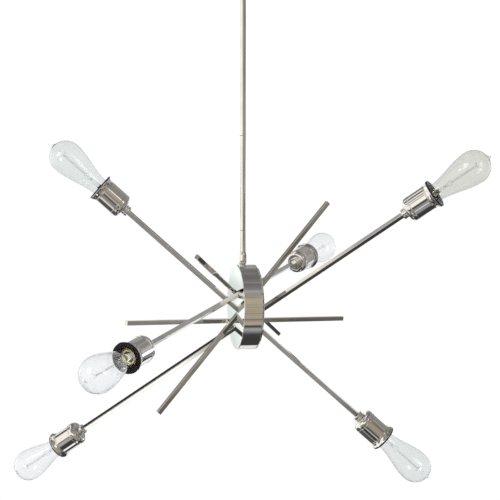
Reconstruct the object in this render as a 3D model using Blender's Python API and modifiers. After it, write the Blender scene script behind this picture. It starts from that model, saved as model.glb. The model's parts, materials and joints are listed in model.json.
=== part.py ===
"""Multi-arm ceiling chandelier: a polished drum on a rigid stem, three square light tubes and three
plain accent rods that pass through the drum, six lampholders with screw-in filament bulbs, and the
ceiling kit with its hang-straight swivel.

Metres, +Z up. The origin is the centre of the mounting strap's top face, which lies on the ceiling.
"""
import math

import bmesh
import bpy
from mathutils import Matrix, Vector

# ---- driving dimensions -------------------------------------------------------------------------
GAP = 0.0003                    # clearance between pieces that touch
MERGE = 0.00001

# the drum, whose axis is horizontal and turned a little towards the viewer
DRUM_DROP = 0.672               # ceiling to drum centre
DRUM_RADIUS = 0.076
DRUM_HALF_WIDTH = 0.018
DRUM_WALL = 0.0015
DRUM_YAW = math.radians(12.5)
STEM_OFFSET = 0.005             # the drum's mid-plane lies this far from the stem along the drum axis
LID_EDGE = 0.0035               # visible width of the lid's edge
LID_LIP = 0.0005                # the lid stands proud of the band by this much
LID_SKIRT = 0.004

# square tube and rod
TUBE_SIDE = 0.008
TUBE_WALL = 0.001
TUBE_CORNER = 0.0009
ROD_HALF_LENGTH = 0.245

# the stem and its couplings
STEM_RADIUS = 0.00635
STEM_BORE = 0.005
STEM_TOP = 0.060                # ceiling to the top of the stem
UPPER_SEAM = 0.365
LOWER_SEAM = 0.535
SEAM_CHAMFER = 0.0004
COLLAR_HEIGHT = 0.022
NIPPLE_RADIUS = 0.0047
NIPPLE_BORE = 0.0032
NIPPLE_REACH = 0.018            # into each tube at a seam
NUT_ACROSS_FLATS = 0.014
NUT_HEIGHT = 0.003
NUT_BORE = 0.005

# the ceiling kit
STRAP_LENGTH = 0.112
STRAP_WIDTH = 0.018
STRAP_THICKNESS = 0.002
BOX_SCREW_SPACING = 0.0889      # 3 1/2 in between the ceiling box's screws
SLOT_LENGTH = 0.012
SLOT_WIDTH = 0.0052
HANGER_HALF_WIDTH = 0.013
HANGER_DROP = 0.022
CANOPY_RADIUS = 0.0635
CANOPY_DEPTH = 0.028
CANOPY_WALL = 0.0012
CANOPY_FILLET = 0.012
CANOPY_SCREW_X = 0.030
CANOPY_SCREW_RADIUS = 0.002
CANOPY_KNOB_RADIUS = 0.0048
CANOPY_KNOB_HEIGHT = 0.009

# the hang-straight swivel
RUNNING_FIT = 0.00008           # radial clearance of a pin in its bore
FIT_SIDES = 24
SPINDLE_RADIUS = 0.005
SPINDLE_HEAD_RADIUS = 0.0075
SPINDLE_HEAD_HEIGHT = 0.0025
BRIDGE_TOP = 0.030
BRIDGE_THICKNESS = 0.005
PIN_DROP = 0.046                # ceiling to the swivel pin
PIN_RADIUS = 0.0024
EAR_RADIUS = 0.008
EAR_THICKNESS = 0.004
TONGUE_THICKNESS = 0.006
TONGUE_RADIUS = 0.007
SWIVEL_YAW = math.radians(60)   # the pin's direction about the stem

# the lampholder, measured from its mouth
RIM_RADIUS = 0.0256
RING_RADIUS = 0.0252            # the insulator's black ring in front of the metal rim
RING_THICKNESS = 0.0021
RING_BORE = 0.0168
SHELL_RADIUS = 0.02175
SHELL_WALL = 0.0008
SHELL_DEPTH = 0.057
SHOULDER = 0.008
SHELL_STEPS = 16
INSULATOR_FLOOR = 0.038
SCREW_RADIUS = 0.0136           # inside of the E26 screw shell
SCREW_WALL = 0.0006
SCREW_TOP = 0.0065
SOCKET_STEPS = 12
ARM_COLLAR_RADIUS = 0.00925
ARM_COLLAR_FOOT = 0.067
TUBE_END = 0.0598               # mouth to the end of the square tube
SPIGOT_TOP = 0.045
CABLE_RADIUS = 0.0018

# the bulb, a pear shape with a conical neck
BULB_RADIUS = 0.030
BULB_WIDEST = 0.079             # mouth to the widest section
BULB_END = 0.108
PIP_HEIGHT = 0.0032
PIP_RADIUS = 0.0032
GLASS_WALL = 0.0007
GLASS_FOOT = 0.0067
GLASS_FOOT_RADIUS = 0.0121
GLASS_STEPS = 16
CAP_RADIUS = 0.0131
CAP_TOP = 0.007
CAP_FOOT = 0.0364
FILAMENT_LOW = 0.032
FILAMENT_HIGH = 0.084
FILAMENT_TURN = math.radians(60)

DRUM_AXIS = Vector((math.cos(DRUM_YAW), math.sin(DRUM_YAW), 0))
DRUM_CENTRE = DRUM_AXIS * STEM_OFFSET - Vector((0, 0, DRUM_DROP))

# Each straight member: its direction (azimuth, elevation in degrees), the point where it crosses the
# upright plane through the drum centre (depth, height), how far its middle lies from there, its roll.
# A light tube also has the distance from its middle to each lampholder's mouth, and its two lights.
LIGHT_TUBES = {
    "light_tube_1": dict(azimuth=8, elevation=-41.5, depth=-0.024, height=-0.015, shift=-0.003,
                         roll=20, mouth=0.340, lights=(1, 6)),
    "light_tube_2": dict(azimuth=-23, elevation=32.5, depth=-0.007, height=-0.024, shift=-0.0245,
                         roll=52, mouth=0.437, lights=(5, 2)),
    "light_tube_3": dict(azimuth=63, elevation=13, depth=0.0, height=0.029, shift=-0.066,
                         roll=40, mouth=0.340, lights=(4, 3)),
}
ACCENT_RODS = {
    "accent_rod_1": dict(azimuth=18, elevation=49.5, depth=-0.008, height=0.0035, shift=-0.001, roll=10),
    "accent_rod_2": dict(azimuth=72, elevation=-18.5, depth=0.050, height=0.0055, shift=-0.023, roll=30),
    "accent_rod_3": dict(azimuth=38, elevation=-1, depth=0.019, height=-0.0255, shift=-0.009, roll=8),
}

NICKEL = ("nickel", (0.80, 0.77, 0.72), 0.10, 1.0)
STEEL = ("zinc_steel", (0.62, 0.62, 0.60), 0.35, 1.0)
BRASS = ("brass", (0.78, 0.60, 0.28), 0.25, 1.0)
BLACK = ("black_phenolic", (0.03, 0.03, 0.03), 0.35, 0.0)
GLASS = ("clear_glass", (0.88, 0.92, 0.92), 0.03, 0.0)
CAP_METAL = ("cap_metal", (0.70, 0.66, 0.58), 0.25, 1.0)
WIRE = ("wire_insulation", (0.85, 0.84, 0.80), 0.50, 0.0)


# ---- scene helpers ------------------------------------------------------------------------------
def clear_scene():
    for obj in list(bpy.data.objects):
        bpy.data.objects.remove(obj, do_unlink=True)


def new_collection(name):
    collection = bpy.data.collections.new(name)
    bpy.context.scene.collection.children.link(collection)
    return collection


clear_scene()
PARTS = new_collection("multi_arm_chandelier")
CUTTERS = new_collection("cutters")


def paint(obj, finish):
    """Gives the object its own Principled material."""
    name, colour, roughness, metallic = finish
    material = bpy.data.materials.new(f"{name}_{obj.name}")
    material.use_nodes = True
    shader = material.node_tree.nodes["Principled BSDF"]
    shader.inputs["Base Color"].default_value = (*colour, 1)
    shader.inputs["Roughness"].default_value = roughness
    shader.inputs["Metallic"].default_value = metallic
    material.diffuse_color = (*colour, 1)
    obj.data.materials.append(material)


def empty_at(name, location):
    """An empty on a joint's axis, the parent of what that joint moves."""
    empty = bpy.data.objects.new(name, None)
    empty.location = location
    PARTS.objects.link(empty)
    return empty


def place(obj, matrix, finish, parent=None):
    """Puts a part at its place in the world, under its joint's empty."""
    PARTS.objects.link(obj)
    obj.matrix_basis = matrix
    if parent is not None:
        obj.parent = parent
        obj.matrix_parent_inverse = Matrix.Translation(-parent.location)
    paint(obj, finish)
    return obj


def hide_cutter(obj, matrix):
    CUTTERS.objects.link(obj)
    obj.matrix_basis = matrix
    obj.hide_render = True
    obj.display_type = "WIRE"
    return obj


def turned(name, profile, steps, closed=True):
    """A turned shape about local Z. The profile's outer side runs from top to bottom."""
    mesh = bpy.data.meshes.new(name)
    bm = bmesh.new()
    verts = [bm.verts.new((radius, 0, height)) for radius, height in profile]
    for start, end in zip(verts, verts[1:]):
        bm.edges.new((start, end))
    if closed:
        bm.edges.new((verts[-1], verts[0]))
    bm.to_mesh(mesh)
    bm.free()
    obj = bpy.data.objects.new(name, mesh)
    screw = obj.modifiers.new("turn", "SCREW")
    screw.steps = steps
    screw.render_steps = steps
    screw.use_merge_vertices = True
    screw.merge_threshold = MERGE
    return smooth(as_mesh(obj))


def outline(name, loops, thickness):
    """A flat outline, with holes, extruded equally to both sides of local XY."""
    curve = bpy.data.curves.new(name, "CURVE")
    curve.dimensions = "2D"
    curve.fill_mode = "BOTH"
    curve.extrude = thickness / 2
    for loop in loops:
        spline = curve.splines.new("POLY")
        spline.points.add(len(loop) - 1)
        for point, (x, y) in zip(spline.points, loop):
            point.co = (x, y, 0, 1)
        spline.use_cyclic_u = True
    return bpy.data.objects.new(name, curve)


def wire(name, points, radius):
    """A round wire or lead through the points, with filled ends."""
    curve = bpy.data.curves.new(name, "CURVE")
    curve.dimensions = "3D"
    curve.bevel_depth = radius
    curve.bevel_resolution = 1
    curve.use_fill_caps = True
    spline = curve.splines.new("POLY")
    spline.points.add(len(points) - 1)
    for point, co in zip(spline.points, points):
        point.co = (*co, 1)
    return bpy.data.objects.new(name, curve)


def as_mesh(obj):
    """A new mesh object from a curve or a modified object, with its caps welded."""
    bpy.context.scene.collection.objects.link(obj)
    graph = bpy.context.evaluated_depsgraph_get()
    mesh = bpy.data.meshes.new_from_object(obj.evaluated_get(graph))
    bm = bmesh.new()
    bm.from_mesh(mesh)
    bmesh.ops.remove_doubles(bm, verts=bm.verts, dist=MERGE)
    bmesh.ops.recalc_face_normals(bm, faces=bm.faces)
    bm.to_mesh(mesh)
    bm.free()
    name = obj.name
    matrix = obj.matrix_basis.copy()
    bpy.data.objects.remove(obj)
    solid = bpy.data.objects.new(name, mesh)
    solid.matrix_basis = matrix
    return solid


def smooth(obj):
    """Smooth shading with sharp corners."""
    obj.data.shade_smooth()
    obj.data.set_sharp_from_angle(angle=math.radians(35))
    return obj


def cylinder(name, radius, depth, sides=16):
    mesh = bpy.data.meshes.new(name)
    bm = bmesh.new()
    bmesh.ops.create_cone(bm, cap_ends=True, segments=sides, radius1=radius, radius2=radius, depth=depth)
    bm.to_mesh(mesh)
    bm.free()
    return smooth(bpy.data.objects.new(name, mesh))


def boolean(obj, other, operation="DIFFERENCE"):
    modifier = obj.modifiers.new(operation.lower(), "BOOLEAN")
    modifier.operation = operation
    modifier.solver = "EXACT"
    modifier.object = other


# ---- outlines and profiles ----------------------------------------------------------------------
def arc(centre, radius, start, end, steps):
    """Points on an arc, from start to end degrees."""
    angles = [math.radians(start + (end - start) * i / steps) for i in range(steps + 1)]
    return [(centre[0] + radius * math.cos(a), centre[1] + radius * math.sin(a)) for a in angles]


def circle(radius, sides, centre=(0, 0)):
    return arc(centre, radius, 0, 360 * (sides - 1) / sides, sides - 1)


def rounded_square(side, corner, steps=2):
    inner = side / 2 - corner
    corners = [(inner, inner, 0), (-inner, inner, 90), (-inner, -inner, 180), (inner, -inner, 270)]
    points = []
    for x, y, start in corners:
        points += arc((x, y), corner, start, start + 90, steps)
    return points


def square(side):
    half = side / 2
    return [(half, half), (-half, half), (-half, -half), (half, -half)]


def hexagon(across_flats):
    return arc((0, 0), across_flats / math.sqrt(3), 0, 300, 5)


def half_bulb(inset, angles):
    """One side of the glass envelope, from its round end to its foot."""
    radius, end = BULB_RADIUS - inset, BULB_END - inset
    equator = BULB_WIDEST - 0.002
    dome = [(radius * math.cos(math.radians(a)), equator + (end - equator) * math.sin(math.radians(a)))
            for a in angles]
    neck = [(0.0276, 0.058), (0.0200, 0.020), (0.0157, -0.0008)]
    foot = [(GLASS_FOOT_RADIUS, -0.0054), (GLASS_FOOT_RADIUS, -GLASS_FOOT)]
    return dome + [(width - inset, height) for width, height in neck + foot]


# ---- placing --------------------------------------------------------------------------------------
def direction(azimuth, elevation):
    azimuth, elevation = math.radians(azimuth), math.radians(elevation)
    return Vector((math.cos(elevation) * math.cos(azimuth), math.cos(elevation) * math.sin(azimuth),
                   math.sin(elevation)))


def along(axis, origin, roll=0):
    """A matrix whose local Z lies along axis, with local Y as near upright as it can be."""
    side = Vector((0, 0, 1)).cross(axis).normalized()
    up = axis.cross(side)
    turn = Matrix((side, up, axis)).transposed().to_4x4()
    return Matrix.Translation(origin) @ turn @ Matrix.Rotation(math.radians(roll), 4, "Z")


def member_frame(spec):
    """Local Z runs along a straight member from its middle."""
    axis = direction(spec["azimuth"], spec["elevation"])
    middle = DRUM_CENTRE + Vector((0, spec["depth"], spec["height"])) + axis * spec["shift"]
    return along(axis, middle, spec["roll"])


def light_frames():
    """The place of every lampholder's mouth, with local Z pointing out to its bulb."""
    frames = {}
    for spec in LIGHT_TUBES.values():
        out = Matrix.Translation((0, 0, spec["mouth"]))
        left, right = spec["lights"]
        frames[left] = member_frame(spec) @ Matrix.Rotation(math.pi, 4, "X") @ out
        frames[right] = member_frame(spec) @ out
    return dict(sorted(frames.items()))


LIGHTS = light_frames()
SWIVEL = empty_at("swivel_turn", (0, 0, 0))
FIXTURE = empty_at("fixture_tilt", (0, 0, -PIN_DROP))
BULBS = {n: empty_at(f"bulb_slide_{n}", frame.translation) for n, frame in LIGHTS.items()}
PIN_TURN = Matrix.Rotation(SWIVEL_YAW, 4, "Z")
FACE_FRONT = Matrix.Rotation(math.pi / 2, 4, "X")     # an outline's XY becomes XZ
FACE_SIDE = Matrix.Rotation(math.pi / 2, 4, "Z") @ FACE_FRONT    # an outline's XY becomes YZ


# ---- ceiling kit ----------------------------------------------------------------------------------
def slot_outline():
    end = SLOT_LENGTH / 2 - SLOT_WIDTH / 2
    return arc((end, 0), SLOT_WIDTH / 2, -90, 90, 5) + arc((-end, 0), SLOT_WIDTH / 2, 90, 270, 5)


def build_mounting_strap():
    """The steel strap, with a hanger loop welded under its solid middle."""
    half, loop, wall = STRAP_LENGTH / 2, HANGER_HALF_WIDTH, STRAP_THICKNESS
    weld, inside = -wall / 2, loop - wall
    plate = [(-half, 0), (-half, -wall), (half, -wall), (half, 0)]
    hanger = [(-loop, weld), (-loop, -HANGER_DROP), (loop, -HANGER_DROP), (loop, weld), (inside, weld),
              (inside, wall - HANGER_DROP), (-inside, wall - HANGER_DROP), (-inside, weld)]
    strap = place(as_mesh(outline("mounting_strap", [plate], STRAP_WIDTH)), FACE_FRONT, STEEL)
    loop_part = as_mesh(outline("hanger_loop", [hanger], STRAP_WIDTH))
    boolean(strap, hide_cutter(loop_part, FACE_FRONT), "UNION")
    bore = cylinder("spindle_bore", SPINDLE_RADIUS + RUNNING_FIT, 0.008, FIT_SIDES)
    boolean(strap, hide_cutter(bore, Matrix.Translation((0, 0, -HANGER_DROP))))
    for side in (-1, 1):
        slot = as_mesh(outline(f"box_screw_slot_{side}", [slot_outline()], 0.01))
        boolean(strap, hide_cutter(slot, Matrix.Translation((side * BOX_SCREW_SPACING / 2, 0, 0))))
        hole = cylinder(f"stud_hole_{side}", CANOPY_SCREW_RADIUS + GAP, 0.01, 12)
        boolean(strap, hide_cutter(hole, Matrix.Translation((side * CANOPY_SCREW_X, 0, 0))))


def build_canopy():
    """The round canopy, a shallow cup whose rim meets the ceiling."""
    floor, wall = -CANOPY_DEPTH, CANOPY_WALL
    fillet = (CANOPY_RADIUS - CANOPY_FILLET, floor + CANOPY_FILLET)
    middle = SPINDLE_RADIUS + 0.001
    profile = [(CANOPY_RADIUS, -GAP)] + arc(fillet, CANOPY_FILLET, 0, -90, 3) + [(middle, floor)]
    profile += [(middle, floor + wall)] + arc(fillet, CANOPY_FILLET - wall, -90, 0, 2)
    profile += [(CANOPY_RADIUS - wall, -GAP)]
    canopy = place(turned("canopy", profile, 36), Matrix(), NICKEL)
    for side in (-1, 1):
        hole = cylinder(f"canopy_hole_{side}", CANOPY_SCREW_RADIUS + GAP, 0.006, 12)
        boolean(canopy, hide_cutter(hole, Matrix.Translation((side * CANOPY_SCREW_X, 0, floor))))


def build_canopy_screws():
    """Two knob-headed screws, up through the canopy into the strap."""
    radius, knob, height = CANOPY_SCREW_RADIUS, CANOPY_KNOB_RADIUS, CANOPY_KNOB_HEIGHT
    seat = -CANOPY_DEPTH - GAP
    profile = [(0, -GAP), (radius, -GAP), (radius, seat), (knob - 0.0005, seat), (knob, seat - 0.0005),
               (knob, seat - 0.7 * height), (0.7 * knob, seat - 0.93 * height), (0, seat - height)]
    for number, side in ((1, -1), (2, 1)):
        screw = turned(f"canopy_screw_{number}", profile, 14, closed=False)
        place(screw, Matrix.Translation((side * CANOPY_SCREW_X, 0, 0)), NICKEL)


# ---- hang-straight swivel -------------------------------------------------------------------------
def round_ended(radius, top, bottom):
    """An upright strip whose lower end is round, centred on the pin; y is up from the pin."""
    return [(radius, top), (-radius, top)] + arc((0, bottom), radius, 180, 360, 8)


def build_swivel_yoke():
    """A headed spindle that turns in the hanger, with a fork below it for the pin."""
    inner = TONGUE_THICKNESS / 2 + GAP
    outer = inner + EAR_THICKNESS
    top, low = PIN_DROP - BRIDGE_TOP, -EAR_RADIUS
    under = top - BRIDGE_THICKNESS
    fork = [(-outer, top), (-outer, low), (-inner, low), (-inner, under), (inner, under), (inner, low),
            (outer, low), (outer, top)]
    pin_place = Matrix.Translation((0, 0, -PIN_DROP)) @ PIN_TURN
    yoke = as_mesh(outline("swivel_yoke", [fork], 2 * EAR_RADIUS))
    place(yoke, pin_place @ FACE_FRONT, NICKEL, SWIVEL)
    rounding = as_mesh(outline("ear_rounding", [round_ended(EAR_RADIUS, top + 0.001, 0)], 0.03))
    boolean(yoke, hide_cutter(rounding, pin_place @ FACE_SIDE), "INTERSECT")
    head_low = GAP - HANGER_DROP + STRAP_THICKNESS
    head_top = head_low + SPINDLE_HEAD_HEIGHT
    profile = [(0, head_top), (SPINDLE_HEAD_RADIUS, head_top), (SPINDLE_HEAD_RADIUS, head_low),
               (SPINDLE_RADIUS, head_low), (SPINDLE_RADIUS, -BRIDGE_TOP - 0.002), (0, -BRIDGE_TOP - 0.002)]
    spindle = turned("spindle", profile, FIT_SIDES, closed=False)
    boolean(yoke, hide_cutter(spindle, Matrix()), "UNION")
    bore = cylinder("ear_bore", PIN_RADIUS + GAP / 2, 0.03, FIT_SIDES)
    boolean(yoke, hide_cutter(bore, pin_place @ Matrix.Rotation(math.pi / 2, 4, "Y")))


def build_swivel_pin():
    """The cross pin, with a round head at each end."""
    reach = TONGUE_THICKNESS / 2 + 2 * GAP + EAR_THICKNESS
    head = reach + 0.0014
    radius = PIN_RADIUS + 0.0014
    profile = [(0, head), (radius - 0.0006, head), (radius, head - 0.0006), (radius, reach)]
    profile += [(PIN_RADIUS, reach), (PIN_RADIUS, -reach)]
    profile += [(radius, -reach), (radius, 0.0006 - head), (radius - 0.0006, -head), (0, -head)]
    pin = turned("swivel_pin", profile, FIT_SIDES, closed=False)
    turn = Matrix.Translation((0, 0, -PIN_DROP)) @ PIN_TURN @ Matrix.Rotation(math.pi / 2, 4, "Y")
    place(pin, turn, STEEL, SWIVEL)


def build_swivel_tongue():
    """The tongue that hangs on the pin, with the threaded spigot that the stem screws onto."""
    pin_place = Matrix.Translation((0, 0, -PIN_DROP)) @ PIN_TURN
    stem_top = PIN_DROP - STEM_TOP + GAP
    boss_top = stem_top + 0.0032
    waist, low = TONGUE_RADIUS - 0.001, boss_top - 0.001
    blade = [(-waist, low), (waist, low)] + arc((0, 0), TONGUE_RADIUS, 0, 180, 8)
    tongue = as_mesh(outline("swivel_tongue", [blade], TONGUE_THICKNESS))
    place(tongue, pin_place @ FACE_SIDE, NICKEL, FIXTURE)
    profile = [(0, boss_top), (STEM_RADIUS - 0.0005, boss_top), (STEM_RADIUS, boss_top - 0.0005),
               (STEM_RADIUS, stem_top), (NIPPLE_RADIUS, stem_top), (NIPPLE_RADIUS, stem_top - 0.014),
               (0, stem_top - 0.014)]
    boss = turned("tongue_boss", profile, 20, closed=False)
    boolean(tongue, hide_cutter(boss, Matrix.Translation((0, 0, -PIN_DROP))), "UNION")
    bore = cylinder("tongue_bore", PIN_RADIUS + RUNNING_FIT, 0.02, FIT_SIDES)
    boolean(tongue, hide_cutter(bore, pin_place @ Matrix.Rotation(math.pi / 2, 4, "Y")))


# ---- stem -----------------------------------------------------------------------------------------
def build_stem_tube(name, top, bottom):
    """One length of the stem, with a fine chamfer at each end that shows as a seam."""
    top, bottom, edge = -top - GAP / 2, -bottom + GAP / 2, STEM_RADIUS - SEAM_CHAMFER
    profile = [(edge, top), (STEM_RADIUS, top - SEAM_CHAMFER), (STEM_RADIUS, bottom + SEAM_CHAMFER),
               (edge, bottom), (STEM_BORE, bottom), (STEM_BORE, top)]
    place(turned(name, profile, 20), Matrix(), NICKEL, FIXTURE)


def build_stem():
    collar_foot = DRUM_DROP - DRUM_RADIUS - GAP
    collar_top = collar_foot - COLLAR_HEIGHT
    build_stem_tube("stem_upper", STEM_TOP, UPPER_SEAM)
    build_stem_tube("stem_middle", UPPER_SEAM, LOWER_SEAM)
    build_stem_tube("stem_lower", LOWER_SEAM, collar_top)
    egg = [(0.0062, 0.022), (0.0068, 0.0195), (0.0075, 0.0140), (0.0078, 0.0090), (0.0073, 0.0040),
           (0.0060, 0.0008), (0.0056, 0), (STEM_BORE, 0), (STEM_BORE, 0.022)]
    place(turned("stem_collar", egg, 20), Matrix.Translation((0, 0, -collar_foot)), NICKEL, FIXTURE)
    spans = [(UPPER_SEAM - NIPPLE_REACH, UPPER_SEAM + NIPPLE_REACH),
             (LOWER_SEAM - NIPPLE_REACH, LOWER_SEAM + NIPPLE_REACH),
             (collar_top - 0.014, collar_foot + 0.009)]
    for number, (top, bottom) in enumerate(spans, 1):
        profile = [(NIPPLE_RADIUS, -top), (NIPPLE_RADIUS, -bottom), (NIPPLE_BORE, -bottom),
                   (NIPPLE_BORE, -top)]
        place(turned(f"stem_nipple_{number}", profile, 14), Matrix(), STEEL, FIXTURE)


# ---- drum and straight members --------------------------------------------------------------------
def build_drum():
    """A cup with a solid left face, closed by a pressed lid, pierced by the six members."""
    radius, half, wall = DRUM_RADIUS, DRUM_HALF_WIDTH, DRUM_WALL
    bore, mouth = radius - wall, half - LID_EDGE - GAP
    cup = [(0, wall - half), (bore, wall - half), (bore, mouth), (radius, mouth),
           (radius, 0.0007 - half), (radius - 0.0007, -half), (0, -half)]
    lid_radius, skirt = radius + LID_LIP, bore - GAP
    lid = [(0, half), (lid_radius - 0.0006, half), (lid_radius, half - 0.0006),
           (lid_radius, half - LID_EDGE), (skirt, half - LID_EDGE), (skirt, mouth - LID_SKIRT),
           (skirt - wall, mouth - LID_SKIRT), (skirt - wall, half - wall), (0, half - wall)]
    axis_place = along(DRUM_AXIS, DRUM_CENTRE)
    body = place(turned("drum_body", cup, 36, closed=False), axis_place, NICKEL, FIXTURE)
    cover = place(turned("drum_cover", lid, 36, closed=False), axis_place, NICKEL, FIXTURE)
    for name, spec in (LIGHT_TUBES | ACCENT_RODS).items():
        hole = outline(f"{name}_hole", [square(TUBE_SIDE + 2 * GAP)], 0.2)
        crossing = member_frame(spec) @ Matrix.Translation((0, 0, -spec["shift"]))
        cutter = hide_cutter(as_mesh(hole), crossing)
        boolean(body, cutter)
        boolean(cover, cutter)
    top_hole = cylinder("drum_top_hole", NIPPLE_RADIUS + GAP, 0.02, 14)
    boolean(body, hide_cutter(top_hole, Matrix.Translation((0, 0, DRUM_RADIUS - DRUM_DROP))))


def build_members():
    """The hollow light tubes and the plain accent rods, straight through the drum."""
    section = rounded_square(TUBE_SIDE, TUBE_CORNER)
    inside = square(TUBE_SIDE - 2 * TUBE_WALL)
    for name, spec in LIGHT_TUBES.items():
        tube = as_mesh(outline(name, [section, inside], 2 * (spec["mouth"] - TUBE_END)))
        place(smooth(tube), member_frame(spec), NICKEL, FIXTURE)
        hole = cylinder(f"{name}_wire_hole", 0.0022, TUBE_SIDE, 12)
        crossing = Matrix.Translation((0, TUBE_SIDE / 2, -spec["shift"]))
        turn = Matrix.Rotation(math.pi / 2, 4, "X")
        boolean(tube, hide_cutter(hole, member_frame(spec) @ crossing @ turn))
    for name, spec in ACCENT_RODS.items():
        rod = as_mesh(outline(name, [section], 2 * ROD_HALF_LENGTH))
        place(smooth(rod), member_frame(spec), NICKEL, FIXTURE)


def build_drum_nut():
    """The hexagon nut under the drum's top wall."""
    under_top = math.sqrt((DRUM_RADIUS - DRUM_WALL) ** 2 - (NUT_ACROSS_FLATS / 2 + 0.0015) ** 2)
    nut = as_mesh(outline("drum_nut", [hexagon(NUT_ACROSS_FLATS), circle(NUT_BORE, 14)], NUT_HEIGHT))
    height = under_top - GAP - NUT_HEIGHT / 2 - DRUM_DROP
    place(nut, Matrix.Translation((0, 0, height)), STEEL, FIXTURE)


def build_supply_cable():
    """The cable down the stem, ending inside the drum."""
    top, bottom = -STEM_TOP - 0.018, DRUM_RADIUS - DRUM_DROP - 0.020
    cable = cylinder("supply_cable", CABLE_RADIUS, top - bottom, 10)
    place(cable, Matrix.Translation((0, 0, (top + bottom) / 2)), WIRE, FIXTURE)


# ---- lampholders ----------------------------------------------------------------------------------
def build_arm_collar(number, frame):
    """The neck: a square pocket for the tube's end, and a threaded hollow spigot in front."""
    front, foot, bore = -SHELL_DEPTH - GAP, -ARM_COLLAR_FOOT, 0.0026
    profile = [(NIPPLE_RADIUS, -SPIGOT_TOP), (NIPPLE_RADIUS, front), (ARM_COLLAR_RADIUS, front),
               (ARM_COLLAR_RADIUS, foot + 0.0006), (ARM_COLLAR_RADIUS - 0.0006, foot), (bore, foot),
               (bore, -SPIGOT_TOP)]
    collar = place(turned(f"arm_collar_{number}", profile, 18), frame, NICKEL, FIXTURE)
    section = square(TUBE_SIDE + 2 * GAP)
    pocket_depth = ARM_COLLAR_FOOT - TUBE_END + GAP
    pocket = as_mesh(outline(f"collar_pocket_{number}", [section], 2 * pocket_depth))
    boolean(collar, hide_cutter(pocket, frame @ Matrix.Translation((0, 0, foot))))


def build_socket_shell(number, frame):
    """The polished cup with a flared rim and a round shoulder."""
    radius, wall, depth = SHELL_RADIUS, SHELL_WALL, SHELL_DEPTH
    rim, lip = -RING_THICKNESS - GAP, -RING_THICKNESS - 0.0015
    shoulder = (radius - SHOULDER, SHOULDER - depth)
    profile = [(RIM_RADIUS, rim), (RIM_RADIUS, lip), (0.0226, -0.0078), (radius, -0.0094)]
    profile += arc(shoulder, SHOULDER, 0, -90, 2)
    profile += [(NUT_BORE, -depth), (NUT_BORE, wall - depth)]
    profile += arc(shoulder, SHOULDER - wall, -90, 0, 1)
    profile += [(radius - wall, -0.0098), (RIM_RADIUS - 2 * wall, lip), (RIM_RADIUS - 2 * wall, rim)]
    place(turned(f"socket_shell_{number}", profile, SHELL_STEPS), frame, NICKEL, FIXTURE)


def build_socket_insulator(number, frame):
    """The black phenolic body: a ring over the rim, a well for the screw shell, a foot for the spigot."""
    bore = SCREW_RADIUS + SCREW_WALL + 0.0005
    outside = SHELL_RADIUS - SHELL_WALL - 0.0008
    floor, foot = -INSULATOR_FLOOR, SHELL_WALL + GAP - SHELL_DEPTH
    under, plug, lip = -RING_THICKNESS, RIM_RADIUS - 2 * SHELL_WALL - 0.0008, -RING_THICKNESS - 0.0015
    profile = [(0.0020, floor), (bore, floor), (bore, -0.0040), (RING_BORE, -0.0010), (RING_BORE, 0),
               (RING_RADIUS - 0.0006, 0), (RING_RADIUS, -0.0006), (RING_RADIUS, under), (plug, under),
               (plug, lip), (outside, -0.0098), (outside, foot + SHOULDER), (0.0130, foot),
               (NUT_BORE, foot), (NUT_BORE, floor - 0.004), (0.0020, floor - 0.004)]
    place(turned(f"socket_insulator_{number}", profile, SOCKET_STEPS), frame, BLACK, FIXTURE)


def build_screw_shell(number, frame):
    """The brass screw shell, open below inside a narrow flange."""
    radius, outside, foot = SCREW_RADIUS, SCREW_RADIUS + SCREW_WALL, GAP - INSULATOR_FLOOR
    profile = [(outside, -SCREW_TOP), (outside, foot), (0.0085, foot), (0.0085, foot + SCREW_WALL),
               (radius, foot + SCREW_WALL), (radius, -SCREW_TOP)]
    place(turned(f"screw_shell_{number}", profile, SOCKET_STEPS), frame, BRASS, FIXTURE)


# ---- bulbs ----------------------------------------------------------------------------------------
def build_bulb_glass(number, frame):
    """The clear envelope, drawn to a pip at its round end and open at its foot."""
    pip = [(0, BULB_END + PIP_HEIGHT), (PIP_RADIUS, BULB_END)]
    outside = pip + half_bulb(0, (74, 48, 22, 0))
    inside = [(0, BULB_END - GLASS_WALL)] + half_bulb(GLASS_WALL, (55, 25))
    profile = outside + inside[::-1]
    place(turned(f"bulb_glass_{number}", profile, GLASS_STEPS, closed=False), frame, GLASS, BULBS[number])


def build_bulb_base(number, frame):
    """The E26 cap with the stem mount that stands in it, its support wire and hairpin filament."""
    profile = [(0, 0.0175), (0.0028, 0.0165), (0.0036, 0.0060), (0.0060, -CAP_TOP), (CAP_RADIUS, -CAP_TOP),
               (CAP_RADIUS, -0.0285), (0.0095, -0.0325), (0.0046, -0.0342), (0.0046, -CAP_FOOT),
               (0, -CAP_FOOT)]
    base = turned(f"bulb_base_{number}", profile, SOCKET_STEPS, closed=False)
    place(base, frame, CAP_METAL, BULBS[number])
    low, high = FILAMENT_LOW, FILAMENT_HIGH
    side = [(0.0018, 0.0150), (0.0062, low), (0.0020, low + 0.0012), (0.0020, high - 0.0012),
            (0.0062, high)]
    path = [(x, 0, z) for x, z in side] + [(-x, 0, z) for x, z in side[::-1]]
    support = [(0, 0, 0.010), (0, 0, high)]
    turn = Matrix.Rotation(FILAMENT_TURN, 4, "Z")
    for name, points, radius in (("hairpin", path, 0.00035), ("support", support, 0.00045)):
        metal = as_mesh(wire(f"{name}_{number}", points, radius))
        boolean(base, hide_cutter(metal, frame @ turn), "UNION")


# ---- the whole light ------------------------------------------------------------------------------
def build_ceiling_kit():
    build_mounting_strap()
    build_canopy()
    build_canopy_screws()
    build_swivel_yoke()
    build_swivel_pin()
    build_swivel_tongue()


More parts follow.
